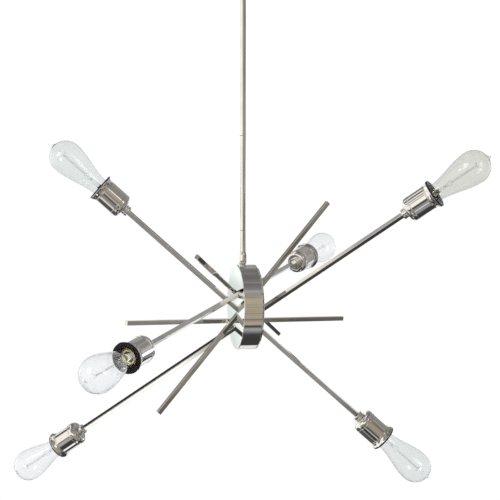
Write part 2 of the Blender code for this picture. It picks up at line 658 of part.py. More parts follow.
def build_lights():
    for number, frame in LIGHTS.items():
        build_arm_collar(number, frame)
        build_socket_shell(number, frame)
        build_socket_insulator(number, frame)
        build_screw_shell(number, frame)
        build_bulb_glass(number, frame)
        build_bulb_base(number, frame)


build_ceiling_kit()
build_stem()
build_drum()
build_members()
build_drum_nut()
build_supply_cable()
build_lights()
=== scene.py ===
"""Looks for the multi-arm chandelier: finely turned nickel, blown glass, brass and phenolic pieces
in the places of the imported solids, with a soft studio round them."""
import json
import math

import bmesh
import bpy
import numpy as np
from mathutils import Matrix, Vector


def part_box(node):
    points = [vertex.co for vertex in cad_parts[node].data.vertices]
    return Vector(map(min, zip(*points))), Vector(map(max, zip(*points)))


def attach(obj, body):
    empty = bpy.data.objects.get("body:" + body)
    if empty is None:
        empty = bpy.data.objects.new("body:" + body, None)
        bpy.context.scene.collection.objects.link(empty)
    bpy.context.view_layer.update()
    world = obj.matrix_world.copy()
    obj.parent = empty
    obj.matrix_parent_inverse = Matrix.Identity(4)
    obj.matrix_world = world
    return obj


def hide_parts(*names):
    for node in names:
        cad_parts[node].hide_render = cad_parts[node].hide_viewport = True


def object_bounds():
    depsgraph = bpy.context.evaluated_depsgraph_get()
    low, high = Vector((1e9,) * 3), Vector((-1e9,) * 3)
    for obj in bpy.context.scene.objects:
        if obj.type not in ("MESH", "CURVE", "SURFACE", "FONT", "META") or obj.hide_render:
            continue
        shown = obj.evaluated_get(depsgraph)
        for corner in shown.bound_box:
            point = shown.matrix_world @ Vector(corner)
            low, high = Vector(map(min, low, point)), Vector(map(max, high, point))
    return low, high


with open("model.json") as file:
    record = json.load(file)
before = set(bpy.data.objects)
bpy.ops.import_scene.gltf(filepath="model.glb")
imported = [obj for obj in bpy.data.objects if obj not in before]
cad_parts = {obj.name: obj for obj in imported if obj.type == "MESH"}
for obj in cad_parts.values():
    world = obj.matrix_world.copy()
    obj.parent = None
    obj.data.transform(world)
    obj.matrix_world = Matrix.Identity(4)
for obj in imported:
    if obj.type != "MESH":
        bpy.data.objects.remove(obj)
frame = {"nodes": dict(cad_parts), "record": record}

CAD_BOX = [list(corner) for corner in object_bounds()]
MM = 0.001

# ---- sizes, in millimetres -----------------------------------------------------------------------
TUBE_SIDE = 8.0
TUBE_CORNER = 0.9
STEM_RADIUS = 6.35
STEM_CHAMFER = 0.45
DRUM_RADIUS = 76.0
DRUM_HALF_WIDTH = 18.0
DRUM_FACE_RADIUS = 74.5         # the flat part of the cup's face
LID_EDGE = 3.5
CANOPY_RADIUS = 63.5
THREAD_PITCH = 25.4 / 7         # E26
THREAD_DEPTH = 0.42
BULB_WIDEST = 79.0
BULB_RADIUS = 29.3              # with BULB_END, keeps the round glass inside its faceted solid
BULB_END = 107.0
GLASS_WALL = 0.7
FILAMENT_LOW = 32.0
FILAMENT_HIGH = 84.0
FILAMENT_RADIUS = 0.22
FILAMENT_TURN = math.radians(60)
EASED_EDGE = 0.2                # on the solids that stay
FLOOR_RADIUS = 3200.0

# ---- tolerances for reading the solids, in metres ------------------------------------------------
FACE_DEPTH = 2e-5               # points this near the outermost one lie on the same face
MEMBER_END = 0.004              # points this near a member's end belong to that end

# ---- the camera's place --------------------------------------------------------------------------
LENS = 90.0
SENSOR = 36.0
CAMERA_OFFSET = Vector((0.0084, -2.2455, 0.102))     # metres from the drum's centre


# ---- reading places from the solids --------------------------------------------------------------
def points_of(node):
    """A node's vertices, each once, as an array."""
    mesh = frame["nodes"][node].data
    points = np.empty(len(mesh.vertices) * 3)
    mesh.vertices.foreach_get("co", points)
    return np.unique(np.round(points.reshape(-1, 3), 6), axis=0)


def middle_of(*nodes):
    """The middle of the box round these solids."""
    corners = [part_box(node) for node in nodes]
    low = Vector([min(corner[0][i] for corner in corners) for i in range(3)])
    high = Vector([max(corner[1][i] for corner in corners) for i in range(3)])
    return (low + high) / 2


def along(axis, origin, roll=0.0):
    """Local Z lies along axis, with local Y as near upright as it can be."""
    axis = Vector(axis).normalized()
    side = Vector((0, 0, 1)).cross(axis).normalized()
    turn = Matrix((side, axis.cross(side), axis)).transposed().to_4x4()
    return Matrix.Translation(origin) @ turn @ Matrix.Rotation(roll, 4, "Z")


def light_place(number):
    """The middle of a lampholder's mouth, with local Z pointing out to the bulb."""
    joints = frame["record"]["behaviour"]["joints"]
    axis = next(j["axis"] for j in joints if j["name"] == f"bulb_{number}_unscrew")
    axis = Vector(axis).normalized()
    points = points_of(f"socket_insulator_{number}")
    heights = points @ np.array(axis)
    rim = points[heights > heights.max() - FACE_DEPTH]
    return along(axis, Vector(rim.mean(axis=0)))


def member_place(node):
    """A square member's middle, with local axes square to its sides, and its length."""
    points = points_of(node)
    spread = points - points.mean(axis=0)
    axis = np.linalg.svd(spread, full_matrices=False)[2][0]
    heights = spread @ axis
    far = points[heights > heights.max() - MEMBER_END].mean(axis=0)
    near = points[heights < heights.min() + MEMBER_END].mean(axis=0)
    axis = Vector(far - near).normalized()
    place = along(axis, Vector((far + near) / 2))
    at_end = points[np.abs((points - far) @ np.array(axis)) < MEMBER_END]
    local = [place.inverted() @ Vector(point) for point in at_end]
    corner = max(local, key=lambda p: math.hypot(p.x, p.y))
    roll = math.atan2(corner.y, corner.x) - math.pi / 4
    return place @ Matrix.Rotation(roll, 4, "Z"), (Vector(far) - Vector(near)).length


def drum_place():
    """The drum's middle, with local Z along its axis from the cup to the lid."""
    cup, lid = points_of("drum_body"), points_of("drum_cover")
    face = max(frame["nodes"]["drum_cover"].data.polygons, key=lambda polygon: polygon.area)
    axis = np.array(face.normal)
    axis *= np.sign(axis @ (lid.mean(axis=0) - cup.mean(axis=0)))
    turn = np.array(along(axis, (0, 0, 0)).to_3x3())
    local = np.vstack((cup, lid)) @ turn
    return along(axis, Vector(turn @ ((local.min(axis=0) + local.max(axis=0)) / 2)))


# ---- node helpers --------------------------------------------------------------------------------
NOISE_LOW, NOISE_HIGH = 0.3, 0.7        # Blender's noise mostly stays between these


def feed(tree, socket, value):
    """Gives a node's socket its value: another socket, a number or a colour."""
    if isinstance(value, bpy.types.NodeSocket):
        tree.links.new(value, socket)
    elif isinstance(value, tuple):
        socket.default_value = (*value, 1)
    else:
        socket.default_value = value


def map_range(tree, value, start, end, low=0.0, high=1.0, interpolation="LINEAR"):
    """Brings start..end to low..high, and holds the value at both ends."""
    node = tree.nodes.new("ShaderNodeMapRange")
    node.interpolation_type = interpolation
    for name, number in (("From Min", start), ("From Max", end), ("To Min", low), ("To Max", high)):
        node.inputs[name].default_value = number
    tree.links.new(value, node.inputs["Value"])
    return node.outputs["Result"]


def stepped(tree, value, start, end):
    """0 up to start and 1 from end, with a smooth rise between them."""
    return map_range(tree, value, start, end, interpolation="SMOOTHSTEP")


def colour_ramp(tree, value, stops, interpolation="LINEAR"):
    """A colour for each value, from stops of position and colour."""
    node = tree.nodes.new("ShaderNodeValToRGB")
    node.color_ramp.interpolation = interpolation
    elements = node.color_ramp.elements
    while len(elements) < len(stops):
        elements.new(0.5)
    for element, (position, colour) in zip(elements, stops):
        element.position = position
        element.color = (*colour, 1)
    tree.links.new(value, node.inputs["Fac"])
    return node.outputs["Color"]


def noise(tree, place, scale, detail):
    node = tree.nodes.new("ShaderNodeTexNoise")
    node.inputs["Scale"].default_value = scale
    node.inputs["Detail"].default_value = detail
    tree.links.new(place, node.inputs["Vector"])
    return node.outputs["Fac"]


def calculated(tree, operation, *values):
    node = tree.nodes.new("ShaderNodeMath")
    node.operation = operation
    for socket, value in zip(node.inputs, values):
        feed(tree, socket, value)
    return node.outputs[0]


def blended(tree, factor, first, second):
    """The first colour where factor is 0, the second where it is 1."""
    node = tree.nodes.new("ShaderNodeMix")
    node.data_type = "RGBA"
    for index, value in ((0, factor), (6, first), (7, second)):     # its colours are 6 and 7
        feed(tree, node.inputs[index], value)
    return node.outputs[2]


def blended_value(tree, factor, first, second):
    """The first number where factor is 0, the second where it is 1."""
    return calculated(tree, "ADD", calculated(tree, "MULTIPLY", factor, second - first), first)


# ---- materials -----------------------------------------------------------------------------------
def new_material(name, colour, metallic, roughness):
    """A plain material, with its node tree and its shader."""
    material = bpy.data.materials.new(name)
    material.use_nodes = True
    material.diffuse_color = (*colour, 1)
    shader = material.node_tree.nodes["Principled BSDF"]
    shader.inputs["Base Color"].default_value = (*colour, 1)
    shader.inputs["Metallic"].default_value = metallic
    shader.inputs["Roughness"].default_value = roughness
    return material, material.node_tree, shader


def object_noise(tree, scale, detail=3.0):
    """Noise in the object's own metres."""
    coordinates = tree.nodes.new("ShaderNodeTexCoord")
    return noise(tree, coordinates.outputs["Object"], scale, detail)


def ranged(tree, value, low, high):
    """Numbers between two, from noise."""
    return map_range(tree, value, NOISE_LOW, NOISE_HIGH, low, high)


def tinted(tree, value, dark, light):
    """Colours between two, from noise."""
    return colour_ramp(tree, value, [(NOISE_LOW, dark), (NOISE_HIGH, light)])


def bumped(tree, shader, value, distance):
    """The surface rises and falls with a value, by a distance in metres."""
    bump = tree.nodes.new("ShaderNodeBump")
    bump.inputs["Distance"].default_value = distance
    tree.links.new(value, bump.inputs["Height"])
    tree.links.new(bump.outputs["Normal"], shader.inputs["Normal"])


def metal(name, dark, light, smooth_to, dull_to, grain=60.0, waves=0.00001):
    """A plated or plain metal: cloudy polish, faint tone changes and slight waves in its skin."""
    material, tree, shader = new_material(name, light, 1.0, smooth_to)
    polish = object_noise(tree, grain, 4.0)
    tree.links.new(ranged(tree, polish, smooth_to, dull_to), shader.inputs["Roughness"])
    tone = object_noise(tree, grain * 0.4, 2.0)
    tree.links.new(tinted(tree, tone, dark, light), shader.inputs["Base Color"])
    if waves:
        bumped(tree, shader, object_noise(tree, 25.0, 1.0), waves)
    return material


def phenolic():
    """Black moulding with a satin skin and faint mottling."""
    material, tree, shader = new_material("black_phenolic", (0.012, 0.010, 0.012), 0.0, 0.3)
    shader.inputs["Specular IOR Level"].default_value = 0.2
    mottle = object_noise(tree, 900.0)
    shades = tinted(tree, mottle, (0.007, 0.005, 0.007), (0.018, 0.014, 0.017))
    tree.links.new(shades, shader.inputs["Base Color"])
    satin = ranged(tree, object_noise(tree, 250.0), 0.26, 0.38)
    tree.links.new(satin, shader.inputs["Roughness"])
    bumped(tree, shader, mottle, 0.00002)
    return material


def clear_glass(name, clear, edge, waves=0.00003):
    """Blown glass: nearly clear, with painted shade that darkens it where it is seen edge-on, and
    slow waves in its skin.
    """
    material, tree, shader = new_material(name, clear, 0.0, 0.0)
    shader.inputs["Transmission Weight"].default_value = 1.0
    shader.inputs["IOR"].default_value = 1.45
    # painted shade: the colour runs from clear to the edge colour where the surface is seen
    # edge-on, standing in for the glass's dark outlines
    painted_edge_shade_weight = tree.nodes.new("ShaderNodeLayerWeight")
    painted_edge_shade_weight.inputs["Blend"].default_value = 0.5
    shades = colour_ramp(tree, painted_edge_shade_weight.outputs["Facing"], [(0.62, clear), (0.97, edge)])
    tree.links.new(shades, shader.inputs["Base Color"])
    bumped(tree, shader, object_noise(tree, 14.0, 0.0), waves)
    return material


def sheath():
    """The cable's off-white plastic."""
    material, tree, shader = new_material("cable_sheath", (0.82, 0.80, 0.75), 0.0, 0.5)
    shades = tinted(tree, object_noise(tree, 300.0), (0.74, 0.72, 0.67), (0.86, 0.84, 0.79))
    tree.links.new(shades, shader.inputs["Base Color"])
    return material


NICKEL = metal("polished_nickel", (0.78, 0.76, 0.73), (0.87, 0.85, 0.82), 0.03, 0.07)
DRAWN = metal("drawn_nickel", (0.74, 0.72, 0.68), (0.84, 0.82, 0.78), 0.03, 0.07, grain=140.0)
# painted light: the drum's flat face gets a lighter, cooler copy of the nickel; its smoother polish
# is the face's own
LIT_FACE_NICKEL = metal("drum_face_lit_nickel", (0.84, 0.85, 0.83), (0.90, 0.91, 0.89), 0.02, 0.05,
             waves=0.000006)
STEEL = metal("zinc_steel", (0.50, 0.51, 0.52), (0.66, 0.66, 0.64), 0.26, 0.44, grain=220.0)
BRASS = metal("bright_brass", (0.72, 0.55, 0.22), (0.88, 0.72, 0.36), 0.14, 0.28, grain=180.0)
CAP = metal("cap_brass", (0.68, 0.54, 0.26), (0.86, 0.73, 0.42), 0.18, 0.32, grain=160.0)
FILAMENT = metal("filament_wire", (0.30, 0.28, 0.25), (0.44, 0.41, 0.36), 0.30, 0.45,
                 grain=900.0, waves=0)
PHENOLIC = phenolic()
# Each glass's second colour is the painted shade at its edges.
GLASS = clear_glass("blown_glass", (0.942, 0.952, 0.960), (0.56, 0.58, 0.60))
# painted shade: darker copies of the same blown glass, for some of the bulbs
SHADED_COOL_GLASS = clear_glass("shaded_cool_glass", (0.872, 0.892, 0.890), (0.50, 0.54, 0.54))
SHADED_GREY_GLASS = clear_glass("shaded_grey_glass", (0.831, 0.832, 0.808), (0.50, 0.51, 0.50))
STEM_GLASS = clear_glass("mount_glass", (0.90, 0.92, 0.92), (0.30, 0.32, 0.32), waves=0.00002)
SHEATH = sheath()

SHADED_BULBS = {1: SHADED_COOL_GLASS, 2: SHADED_GREY_GLASS, 6: SHADED_COOL_GLASS}     # painted shade: the bulbs given darker copies of the blown glass


# ---- mesh helpers --------------------------------------------------------------------------------
def arc(centre, radius, start, end, steps):
    """Points on an arc, from start to end degrees."""
    angles = [math.radians(start + (end - start) * i / steps) for i in range(steps + 1)]
    return [(centre[0] + radius * math.cos(a), centre[1] + radius * math.sin(a)) for a in angles]


def softened(profile, radius=0.25, steps=3):
    """The profile with every inner corner eased by a small curve."""
    eased = [profile[0]]
    for before, corner, after in zip(profile, profile[1:], profile[2:]):
        before, corner, after = Vector(before), Vector(corner), Vector(after)
        inward, outward = before - corner, after - corner
        turn = math.pi - inward.angle(outward)
        reach = min(radius, 0.45 * inward.length, 0.45 * outward.length)
        if turn < math.radians(14):
            eased.append(tuple(corner))
            continue
        start, end = corner + inward.normalized() * reach, corner + outward.normalized() * reach
        for i in range(steps + 1):
            t = i / steps
            eased.append(tuple(start * (1 - t) ** 2 + corner * 2 * t * (1 - t) + end * t ** 2))
    return eased + [profile[-1]]


def finished(name, bm, place, material, sharp=38.0, flat=True):
    """An object from a bmesh in millimetres."""
    bmesh.ops.remove_doubles(bm, verts=bm.verts, dist=1e-4)
    bmesh.ops.recalc_face_normals(bm, faces=bm.faces)
    mesh = bpy.data.meshes.new(name)
    bm.to_mesh(mesh)
    bm.free()
    mesh.transform(place @ Matrix.Scale(MM, 4))
    mesh.shade_smooth()
    mesh.set_sharp_from_angle(angle=math.radians(sharp))
    mesh.materials.append(material)
    obj = bpy.data.objects.new(name, mesh)
    bpy.context.scene.collection.objects.link(obj)
    if flat:
        keep_flats(obj)
    return obj


def keep_flats(obj):
    """Shades wide faces flat right up to their eased corners, as on plated metal."""
    shading = obj.modifiers.new("flats", "WEIGHTED_NORMAL")
    shading.mode = "FACE_AREA"
    shading.weight = 80
    shading.keep_sharp = True


def lathe_rings(bm, profile, sides, ripple=None):
    """Rings of vertices round local Z; a point on the axis is a single vertex."""
    rings = []
    for radius, height in profile:
        if radius < 1e-6:
            rings.append([bm.verts.new((0, 0, height))])
            continue
        ring = []
        for i in range(sides):
            angle = 2 * math.pi * i / sides
            wide = radius + (ripple(radius, height, angle) if ripple else 0)
            ring.append(bm.verts.new((wide * math.cos(angle), wide * math.sin(angle), height)))
        rings.append(ring)
    return rings


def bridge_rings(bm, first, second, sides):
    """Faces between two rings, with triangles where one of them is a single vertex."""
    for i in range(sides):
        j = (i + 1) % sides
        corners = [first[i % len(first)], first[j % len(first)], second[j % len(second)],
                   second[i % len(second)]]
        bm.faces.new(list(dict.fromkeys(corners)))


def turned(name, profile, place, material, sides=64, closed=False, ripple=None, flat=True):
    """A turned piece: an open profile starts and ends on the axis, a closed one makes a ring."""
    bm = bmesh.new()
    rings = lathe_rings(bm, profile, sides, ripple)
    for first, second in zip(rings, rings[1:]):
        bridge_rings(bm, first, second, sides)
    if closed:
        bridge_rings(bm, rings[-1], rings[0], sides)
    return finished(name, bm, place, material, flat=flat)


def thread(low, high, radius):
    """A ripple for turned(): a rolled E26 thread between two heights, on walls near a radius."""
    def ripple(wide, height, angle):
        if abs(wide - radius) > 1.2 or not low < height < high:
            return 0.0
        fade = min(1.0, (height - low) / 1.5, (high - height) / 1.5)
        return THREAD_DEPTH * fade * math.cos(2 * math.pi * height / THREAD_PITCH + angle)
    return ripple


def wire(name, paths, radius, place, material, sides=10):
    """Round wires along smooth paths, as one mesh."""
    bm = bmesh.new()
    angles = [2 * math.pi * i / sides for i in range(sides)]
    circle = [Vector((radius * math.cos(a), radius * math.sin(a), 0)) for a in angles]
    for path in paths:
        points = [Vector(p) for p in path]
        rings = []
        for i, point in enumerate(points):
            ahead = points[min(i + 1, len(points) - 1)] - points[max(i - 1, 0)]
            turn = ahead.to_track_quat("Z", "Y").to_matrix()
            rings.append([bm.verts.new(point + turn @ offset) for offset in circle])
        for first, second in zip(rings, rings[1:]):
            bridge_rings(bm, first, second, sides)
        bm.faces.new(rings[0])
        bm.faces.new(rings[-1])
    return finished(name, bm, place, material, flat=False)


def belongs(obj, body, *nodes):
    """Puts a piece on a body, in place of these solids."""
    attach(obj, body)
    if nodes:
        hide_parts(*nodes)
    return obj


def dress(node, material):
    """A solid that stays gets its detailed material and eased edges."""
    obj = frame["nodes"][node]
    obj.data.materials.clear()
    obj.data.materials.append(material)
    easing = obj.modifiers.new("eased_edges", "BEVEL")
    easing.width = EASED_EDGE * MM
    easing.segments = 2
    easing.limit_method = "ANGLE"
    easing.angle_limit = math.radians(40)
    keep_flats(obj)


# ---- camera, studio and floor --------------------------------------------------------------------
def grey(level, warm=0.0):
    return (level * (1 + warm), level, level * (1 - 1.6 * warm))


# What the metal mirrors, by degrees round from the camera's side (plus is right) ...
WALLS = [
    (-180, grey(0.70)), (-171, grey(0.95)), (-150, (0.90, 0.98, 0.95)), (-138, grey(0.60)),
    (-128, grey(1.10)), (-60, grey(1.15)), (-48, grey(0.12)), (-38, grey(0.20)),
    (-30, grey(0.28, 0.01)), (-6, grey(0.28, 0.03)), (-1, grey(0.50, 0.07)),
    (7, grey(0.20, 0.07)), (15, grey(0.36, 0.12)), (30, grey(0.37, 0.13)), (39, grey(0.27, 0.09)),
    (57, grey(0.24, 0.06)), (66, grey(0.38, 0.05)), (74, grey(0.34, 0.04)), (81, grey(0.12, 0.05)),
    (98, grey(0.20, 0.03)), (112, grey(0.50)), (130, grey(0.30)), (143, grey(0.85)),
    (150, (0.86, 0.93, 1.02)), (168, grey(1.05)), (176, grey(0.45)), (180, grey(0.60))]
# ... and by degrees of height
CEILING = [
    (20, grey(0.30, 0.03)), (36, grey(0.33, 0.02)), (43, grey(0.40)), (50, grey(0.23)),
    (61, grey(0.18)), (71, grey(0.21)), (81, grey(0.15)), (90, grey(0.19))]
GROUND = [
    (-90, grey(0.95)), (-83, grey(0.85)), (-80, grey(0.05)), (-74, grey(0.065)),
    (-70, (0.13, 0.13, 0.136)), (-66, (0.25, 0.25, 0.26)), (-61, (0.37, 0.38, 0.385)),
    (-57, (0.40, 0.41, 0.41)), (-53, grey(0.16)), (-49, grey(0.05)), (-40, grey(0.08))]
# Panels that stand in the room: azimuth, elevation, half width, half height, colour
CARDS = [
    (-156, 30, 9, 9, grey(0.15)), (-128, 22, 7, 5, grey(1.00)),
    (-141.5, 29, 5, 6, grey(0.28, 0.06)), (135, -25, 10, 9, grey(0.06)),
    (-28, -62.5, 28, 16.5, grey(0.055)), (-95, 54, 38, 16, grey(0.95, 0.03)),
    (-95, 5, 34, 16, (1.10, 1.06, 0.97)), (-110, 30.5, 7, 4, grey(0.04)),
    (-108, 46, 6, 3, grey(0.45)), (-97, 46, 7, 5, grey(0.09)), (100, -87, 60, 5, grey(1.35)),
    (-57, -24, 7, 8, grey(0.14, 0.04)), (-44, -31, 4.5, 12, grey(0.45, 0.03)),
    (-22, -18.5, 12, 5.5, grey(0.09, 0.04)), (-1, -35, 3, 5, grey(0.07, 0.04)),
    (-31, 4, 28, 12, (1.12, 1.09, 1.02)), (-62, -46, 9, 8, grey(0.80, 0.05)),
    (-6, -47, 9, 2, grey(0.9)), (88, 50, 42, 17, grey(0.28, 0.04)),
    (105, -57, 46, 14.5, grey(0.05)), (157, 27, 9, 5, grey(0.24)),
    (-120, -45, 34, 14, grey(0.10)), (-124, 4, 3, 9, (2.6, 2.9, 3.3)),
    (121, -1, 2.5, 4, (2.2, 2.4, 2.8)), (38, 22, 2, 6, grey(2.2)), (170, -39, 9, 11, grey(0.90)),
    (161, 1, 8, 7, (2.1, 2.5, 2.9)), (-168, -31, 7, 6, grey(0.15))]
# Marks on the walls: how fine by height, how fine by azimuth, how dark
FURNITURE = ((0.16, 0.012, 0.5), (0.45, 0.03, 0.35), (0.02, 0.22, 0.3))
EAVES = (28, 20)                # the top of the walls, in front and behind
SKIRTING = (45, 32)             # how far below the horizon they reach, in front and behind
WALL_BLUR = 4                   # degrees over which they meet the ceiling and the ground
CARD_BLUR = 3
SHADOW = grey(0.05)             # the ground behind the light
BACKDROP = (1.02, 1.02, 1.02)   # what the camera sees behind the light
FLOOR_DROP = 0.7                # metres below the lowest solid
FLOOR_FADE = (1.2, 3.1)         # metres out, where it starts and ends its fade to white


def build_camera(target):
    """The camera looks level, from the front."""
    data = bpy.data.cameras.new("camera")
    data.lens = LENS
    data.sensor_width = SENSOR
    data.clip_start, data.clip_end = 0.05, 60.0
    camera = bpy.data.objects.new("camera", data)
    camera.location = target + CAMERA_OFFSET
    camera.rotation_euler = (math.pi / 2, 0, 0)
    bpy.context.scene.collection.objects.link(camera)
    bpy.context.scene.camera = camera


def degree_ramp(tree, value, stops, low, high):
    """A colour for each angle, from stops in degrees."""
    scaled = [((degrees - low) / (high - low), colour) for degrees, colour in stops]
    return colour_ramp(tree, map_range(tree, value, low, high), scaled, "EASE")


def near(tree, value, centre, half):
    """1 within half of centre, with a soft edge."""
    distance = calculated(tree, "ABSOLUTE", calculated(tree, "SUBTRACT", value, centre))
    return calculated(tree, "SUBTRACT", 1, stepped(tree, distance, half, half + CARD_BLUR))


def past(tree, value, start):
    """0 up to start, which is a socket, and 1 from a little past it."""
    return stepped(tree, calculated(tree, "SUBTRACT", value, start), 0, WALL_BLUR)


def furnished(tree, room, azimuth, elevation):
    """Shelves, frames and edges in the room: darker lines and patches along both directions."""
    for upright, around, darkness in FURNITURE:
        place = tree.nodes.new("ShaderNodeCombineXYZ")
        tree.links.new(calculated(tree, "MULTIPLY", azimuth, around), place.inputs[0])
        tree.links.new(calculated(tree, "MULTIPLY", elevation, upright), place.inputs[1])
        marks = stepped(tree, noise(tree, place.outputs[0], 1.0, 2.0), 0.36, 0.44)
        shaded = tree.nodes.new("ShaderNodeVectorMath")
        shaded.operation = "SCALE"
        tree.links.new(room, shaded.inputs[0])
        tree.links.new(blended_value(tree, marks, 1 - darkness, 1.06), shaded.inputs["Scale"])
        room = shaded.outputs[0]
    return room


def build_world():
    """White behind the light. Round it, for the metal to mirror, a warm room in front with a white
    screen on the left, a grey ceiling, a near-black floor and pale walls behind."""
    world = bpy.data.worlds.new("studio")
    bpy.context.scene.world = world
    world.use_nodes = True
    tree = world.node_tree
    coordinates = tree.nodes.new("ShaderNodeTexCoord")
    split = tree.nodes.new("ShaderNodeSeparateXYZ")
    tree.links.new(coordinates.outputs["Generated"], split.inputs[0])
    x, y, z = split.outputs
    facing = calculated(tree, "MULTIPLY", y, -1)
    azimuth = calculated(tree, "DEGREES", calculated(tree, "ARCTAN2", x, facing))
    elevation = calculated(tree, "DEGREES", calculated(tree, "ARCSINE", z))
    below = calculated(tree, "MULTIPLY", elevation, -1)
    behind = stepped(tree, y, -0.1, 0.1)
    walls = furnished(tree, degree_ramp(tree, azimuth, WALLS, -180, 180), azimuth, elevation)
    ceiling = degree_ramp(tree, elevation, CEILING, -90, 90)
    ground = blended(tree, behind, degree_ramp(tree, elevation, GROUND, -90, 90), SHADOW)
    eaves = blended_value(tree, behind, *EAVES)
    skirting = blended_value(tree, behind, *SKIRTING)
    room = blended(tree, past(tree, elevation, eaves), walls, ceiling)
    room = blended(tree, past(tree, below, skirting), room, ground)
    for centre, level, half_width, half_height, colour in CARDS:
        inside = calculated(tree, "MULTIPLY", near(tree, azimuth, centre, half_width),
                            near(tree, elevation, level, half_height))
        room = blended(tree, inside, room, colour)
    path = tree.nodes.new("ShaderNodeLightPath")
    seen = calculated(tree, "MAXIMUM", path.outputs["Is Camera Ray"],
                      path.outputs["Is Transmission Ray"])
    background = tree.nodes["Background"]
    tree.links.new(blended(tree, seen, room, BACKDROP), background.inputs["Color"])


def area_light(name, place, target, size, watts):
    """A soft light that the metal doesn't mirror."""
    data = bpy.data.lights.new(name, "AREA")
    data.shape = "RECTANGLE"
    data.size, data.size_y = size
    data.energy = watts
    light = bpy.data.objects.new(name, data)
    light.location = place
    light.rotation_euler = (target - Vector(place)).to_track_quat("-Z", "Y").to_euler()
    light.visible_glossy = False
    bpy.context.scene.collection.objects.link(light)


def build_floor(target):
    """A round pale floor well below the light, fading into the white round it."""
    bm = bmesh.new()
    bmesh.ops.create_circle(bm, cap_ends=True, segments=96, radius=FLOOR_RADIUS)
    material, tree, shader = new_material("pale_floor", (0.86, 0.86, 0.86), 0.0, 0.7)
    coordinates = tree.nodes.new("ShaderNodeTexCoord")
    length = tree.nodes.new("ShaderNodeVectorMath")
    length.operation = "LENGTH"
    tree.links.new(coordinates.outputs["Object"], length.inputs[0])
    glow = tree.nodes.new("ShaderNodeEmission")
    glow.inputs["Color"].default_value = (1, 1, 1, 1)
    mixed = tree.nodes.new("ShaderNodeMixShader")
    tree.links.new(stepped(tree, length.outputs["Value"], *FLOOR_FADE), mixed.inputs[0])
    tree.links.new(shader.outputs[0], mixed.inputs[1])
    tree.links.new(glow.outputs[0], mixed.inputs[2])
    tree.links.new(mixed.outputs[0], tree.nodes["Material Output"].inputs["Surface"])
    place = Matrix.Translation((target.x, target.y, CAD_BOX[0][2] - FLOOR_DROP))
    floor = finished("floor", bm, place, material)
    floor.visible_glossy = False


# ---- ceiling kit and stem ------------------------------------------------------------------------
def knurl(radius, height, angle):
    """A ripple for turned(): fine grips round a knob's widest part."""
    return 0.10 * math.cos(30 * angle) if radius > 4.6 else 0.0


def build_canopy():
    """The canopy's pressed skin, and its two knurled screws."""
    floor, wall, hole, seat = -28.0, 1.2, 6.0, 0.3
    fillet = (CANOPY_RADIUS - 12.0, floor + 12.0)
    profile = [(CANOPY_RADIUS - wall, -0.3), (CANOPY_RADIUS - 0.3, -0.3), (CANOPY_RADIUS, -0.7)]
    profile += arc(fillet, 12.0, 0, -90, 14) + [(hole + 0.4, floor), (hole, floor + 0.4)]
    profile += [(hole, floor + wall)] + arc(fillet, 12.0 - wall, -90, 0, 10)
    canopy = turned("canopy_skin", profile, Matrix(), NICKEL, sides=128, closed=True)
    belongs(canopy, "ceiling_kit", "canopy")
    for number in (1, 2):
        centre = middle_of(f"canopy_screw_{number}")
        place = Matrix.Translation((centre.x, centre.y, (floor - seat) * MM))
        knob = [(0, 28.0), (1.8, 28.0), (2.0, 27.7), (2.0, 0), (4.3, 0), (4.8, -0.5), (4.8, -5.9),
                (4.5, -6.6), (3.6, -8.2), (2.0, -8.8), (0, -9.0)]
        screw = turned(f"knurled_screw_{number}", softened(knob, 0.2), place, NICKEL,
                       sides=120, ripple=knurl)
        belongs(screw, "ceiling_kit", f"canopy_screw_{number}")


def build_stem():
    """The stem's three lengths, with a fine seam between each two, and its egg-shaped collar."""
    for name in ("stem_upper", "stem_middle", "stem_lower"):
        low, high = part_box(name)
        half = (high.z - low.z) / 2 / MM
        edge = STEM_RADIUS - STEM_CHAMFER
        profile = [(0, half), (edge, half), (STEM_RADIUS, half - STEM_CHAMFER),
                   (STEM_RADIUS, STEM_CHAMFER - half), (edge, -half), (0, -half)]
        place = Matrix.Translation((0, 0, (low.z + high.z) / 2))
        belongs(turned(f"{name}_tube", softened(profile, 0.15), place, NICKEL), "fixture", name)
    low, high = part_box("stem_collar")
    egg = [(0, 22.0), (6.1, 22.0), (6.4, 21.7), (6.5, 20.6), (6.9, 18.6), (7.3, 16.0), (7.6, 13.0),
           (7.8, 10.0), (7.75, 7.0), (7.4, 4.2), (6.8, 2.0), (6.0, 0.6), (5.4, 0), (0, 0)]
    collar = turned("stem_collar_egg", egg, Matrix.Translation((0, 0, low.z)), NICKEL)
    belongs(collar, "fixture", "stem_collar")


